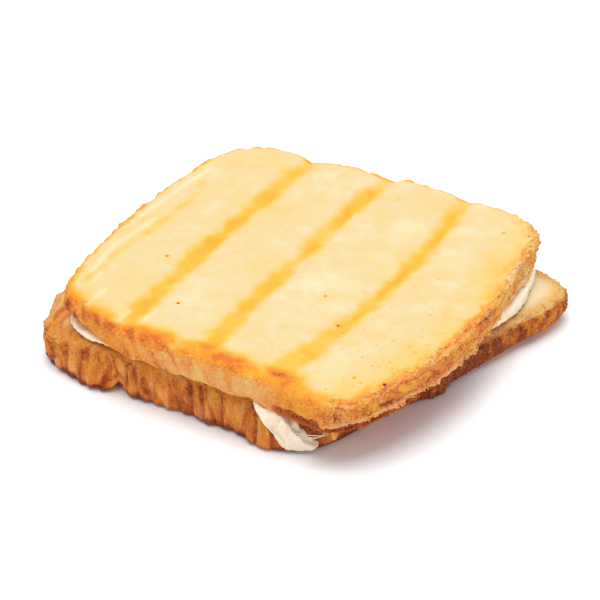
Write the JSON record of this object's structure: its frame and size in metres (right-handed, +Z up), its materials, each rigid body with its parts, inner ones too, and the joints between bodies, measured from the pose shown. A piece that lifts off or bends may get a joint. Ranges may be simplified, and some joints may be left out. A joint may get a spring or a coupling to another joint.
{
  "type": "puff pastry slice",
  "caption": "Filled puff pastry slice: two baked pastry sheets with soft white cream between them, pressed grill marks on top and cream running out at a drooping corner.",
  "frame": {"origin": "under the middle of the slice's bounding box, at the height of the plate it lies on", "axes": "+Z up through the layers; the press marks on the upper sheet run along Y; the drooping corner is at +X, -Y"},
  "size_m": [0.1314, 0.1228, 0.026],
  "materials": {
    "golden_pastry": "baked pastry: pale cream-yellow, near-matte face with golden marks and an orange-brown crust at the rim",
    "browned_pastry": "well baked pastry: wrinkled tan and brown side, dark brown along the base edge, matte",
    "cream": "soft white cream cheese filling: satin, slightly moist, with faint specks"
  },
  "bodies": {
    "root": {"lower_pastry": "browned_pastry", "cream_filling": "cream", "upper_pastry": "golden_pastry"}
  },
  "joints": []
}
